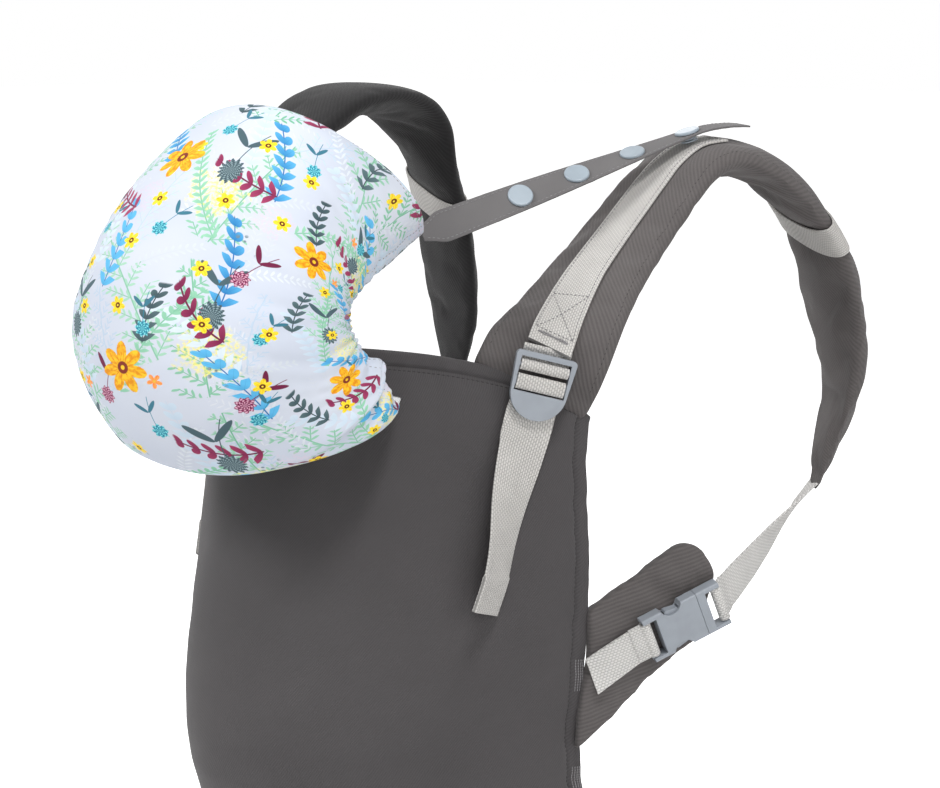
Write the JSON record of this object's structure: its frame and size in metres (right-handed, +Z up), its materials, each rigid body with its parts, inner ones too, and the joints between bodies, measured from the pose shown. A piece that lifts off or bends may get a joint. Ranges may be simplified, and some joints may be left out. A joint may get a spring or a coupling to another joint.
{
  "type": "soft baby carrier",
  "caption": "Soft structured baby carrier: curved padded panel on a waist belt, two padded shoulder straps, side buckles and a gathered hood with snap straps.",
  "frame": {"origin": "centre of the waist belt's ring at half its height, where the wearer's waist is", "axes": "+Z up, -Y away from the wearer towards the panel's front, +X towards the carrier's side that holds the snapped hood strap"},
  "size_m": [0.4609, 0.5332, 0.6695],
  "materials": {
    "charcoal_twill": "matte twill",
    "charcoal_lining": "matte",
    "padding": "matte foam, covered by cloth",
    "webbing": "woven",
    "buckle_plastic": "satin",
    "snap_plastic": "satin",
    "hood_print": null,
    "hood_lining_grey": "matte",
    "elastic": "woven"
  },
  "bodies": {
    "carrier": {"panel_shell": "charcoal_twill", "panel_padding": "padding", "panel_lining": "charcoal_lining", "panel_top_hem": "charcoal_twill", "waist_belt_cover": "charcoal_twill", "waist_belt_foam": "padding", "waist_belt_lining": "charcoal_lining", "waist_webbing_left": "webbing", "waist_webbing_right": "webbing", "waist_buckle_housing": "buckle_plastic", "shoulder_cover_right": "charcoal_twill", "shoulder_foam_right": "padding", "shoulder_lining_right": "charcoal_lining", "shoulder_end_right": "charcoal_twill", "strap_webbing_right": "webbing", "adjuster_anchor_right": "webbing", "side_wing_right": "charcoal_twill", "side_webbing_right": "webbing", "lower_strap_right": "webbing", "snap_stud_right": "snap_plastic", "side_buckle_right_housing": "buckle_plastic", "shoulder_cover_left": "charcoal_twill", "shoulder_foam_left": "padding", "shoulder_lining_left": "charcoal_lining", "shoulder_end_left": "charcoal_twill", "strap_webbing_left": "webbing", "adjuster_anchor_left": "webbing", "side_wing_left": "charcoal_twill", "side_webbing_left": "webbing", "lower_strap_left": "webbing", "snap_stud_left": "snap_plastic", "side_buckle_left_housing": "buckle_plastic"},
    "ladder_lock_right": {"ladder_lock_right": "buckle_plastic", "lock_webbing_right": "webbing"},
    "adjuster_tail_right": {"adjuster_tail_right": "webbing"},
    "strap_band_right": {"strap_band_right": "webbing"},
    "side_plug_right": {"side_buckle_right_plug": "buckle_plastic"},
    "side_prong_upper_right": {"side_buckle_right_prong_upper": "buckle_plastic"},
    "side_prong_lower_right": {"side_buckle_right_prong_lower": "buckle_plastic"},
    "ladder_lock_left": {"ladder_lock_left": "buckle_plastic", "lock_webbing_left": "webbing"},
    "adjuster_tail_left": {"adjuster_tail_left": "webbing"},
    "strap_band_left": {"strap_band_left": "webbing"},
    "side_plug_left": {"side_buckle_left_plug": "buckle_plastic"},
    "side_prong_upper_left": {"side_buckle_left_prong_upper": "buckle_plastic"},
    "side_prong_lower_left": {"side_buckle_left_prong_lower": "buckle_plastic"},
    "waist_plug": {"waist_buckle_plug": "buckle_plastic"},
    "waist_prong_upper": {"waist_buckle_prong_upper": "buckle_plastic"},
    "waist_prong_lower": {"waist_buckle_prong_lower": "buckle_plastic"},
    "hood": {"hood_shell": "hood_print", "hood_lining": "hood_lining_grey", "hood_elastic_right": "elastic", "hood_elastic_left": "elastic"},
    "hood_strap_right": {"hood_strap_right": "charcoal_lining", "hood_snaps_right": "snap_plastic"},
    "hood_strap_left": {"hood_strap_left": "charcoal_lining", "hood_snaps_left": "snap_plastic"}
  },
  "joints": [
    {"name": "lock_tilt_right", "type": "hinge", "parent": "carrier", "child": "ladder_lock_right", "pos_m": [0.15748, -0.14646, 0.4523], "axis": [-0.6, -0.76, 0.25], "range_deg": [0, 40]},
    {"name": "tail_hang_right", "type": "hinge", "parent": "ladder_lock_right", "child": "adjuster_tail_right", "pos_m": [0.15613, -0.15335, 0.42814], "axis": [-0.6, -0.76, 0.25], "range_deg": [-40, 0]},
    {"name": "band_slide_right", "type": "hinge", "parent": "carrier", "child": "strap_band_right", "pos_m": [0.10442, -0.01051, 0.41856], "axis": [0.8811, -0.4156, -0.2256], "range_deg": [-8, 8]},
    {"name": "side_release_right", "type": "slide", "parent": "carrier", "child": "side_plug_right", "axis": [0.4841, 0.7747, 0.4067], "range_m": [0, 0.026], "deforming": ["lower_strap_right"]},
    {"name": "side_squeeze_upper_right", "type": "hinge", "parent": "side_plug_right", "child": "side_prong_upper_right", "pos_m": [0.21568, -0.06854, 0.28189], "axis": [0.8743, -0.4466, -0.1899], "range_deg": [0, 15]},
    {"name": "side_squeeze_lower_right", "type": "hinge", "parent": "side_plug_right", "child": "side_prong_lower_right", "pos_m": [0.21638, -0.05959, 0.26402], "axis": [-0.8743, 0.4466, 0.1899], "range_deg": [0, 15]},
    {"name": "lock_tilt_left", "type": "hinge", "parent": "carrier", "child": "ladder_lock_left", "pos_m": [-0.15748, -0.14646, 0.4523], "axis": [-0.6, 0.76, -0.25], "range_deg": [0, 40]},
    {"name": "tail_hang_left", "type": "hinge", "parent": "ladder_lock_left", "child": "adjuster_tail_left", "pos_m": [-0.15613, -0.15335, 0.42814], "axis": [-0.6, 0.76, -0.25], "range_deg": [-40, 0]},
    {"name": "band_slide_left", "type": "hinge", "parent": "carrier", "child": "strap_band_left", "pos_m": [-0.28297, -0.15154, 0.41029], "axis": [0.9086, -0.2883, -0.3023], "range_deg": [-4.5, 4.5]},
    {"name": "side_release_left", "type": "slide", "parent": "carrier", "child": "side_plug_left", "axis": [-0.4841, 0.7747, 0.4067], "range_m": [0, 0.026], "deforming": ["lower_strap_left"]},
    {"name": "side_squeeze_upper_left", "type": "hinge", "parent": "side_plug_left", "child": "side_prong_upper_left", "pos_m": [-0.21568, -0.06854, 0.28189], "axis": [0.8743, 0.4466, 0.1899], "range_deg": [0, 15]},
    {"name": "side_squeeze_lower_left", "type": "hinge", "parent": "side_plug_left", "child": "side_prong_lower_left", "pos_m": [-0.21638, -0.05959, 0.26402], "axis": [-0.8743, -0.4466, -0.1899], "range_deg": [0, 15]},
    {"name": "waist_release", "type": "slide", "parent": "carrier", "child": "waist_plug", "axis": [1, 0, 0], "range_m": [0, 0.042], "deforming": ["waist_webbing_right"]},
    {"name": "waist_squeeze_upper", "type": "hinge", "parent": "waist_plug", "child": "waist_prong_upper", "pos_m": [0.01595, 0.116, 0.02], "axis": [0, -1, 0], "range_deg": [0, 14.6]},
    {"name": "waist_squeeze_lower", "type": "hinge", "parent": "waist_plug", "child": "waist_prong_lower", "pos_m": [0.01595, 0.116, -0.02], "axis": [0, 1, 0], "range_deg": [0, 14.6]},
    {"name": "hood_fold", "type": "hinge", "parent": "carrier", "child": "hood", "pos_m": [0, -0.236, 0.398], "axis": [1, 0, 0], "range_deg": [0, 38]},
    {"name": "hood_strap_swing_right", "type": "hinge", "parent": "hood", "child": "hood_strap_right", "pos_m": [0.06963, -0.169, 0.522], "axis": [0.907, -0.4184, -0.0475], "range_deg": [0, 40]},
    {"name": "hood_strap_swing_left", "type": "hinge", "parent": "hood", "child": "hood_strap_left", "pos_m": [-0.06963, -0.169, 0.522], "axis": [1, 0, 0], "range_deg": [0, 100]}
  ],
  "couplings": [
    {"joint": "tail_hang_right", "follows": "lock_tilt_right", "ratio": -1},
    {"joint": "side_squeeze_upper_right", "follows": "side_release_right", "rad_per_m": 10},
    {"joint": "side_squeeze_lower_right", "follows": "side_release_right", "rad_per_m": 10},
    {"joint": "tail_hang_left", "follows": "lock_tilt_left", "ratio": -1},
    {"joint": "side_squeeze_upper_left", "follows": "side_release_left", "rad_per_m": 10},
    {"joint": "side_squeeze_lower_left", "follows": "side_release_left", "rad_per_m": 10},
    {"joint": "waist_squeeze_upper", "follows": "waist_release", "rad_per_m": 6},
    {"joint": "waist_squeeze_lower", "follows": "waist_release", "rad_per_m": 6}
  ]
}
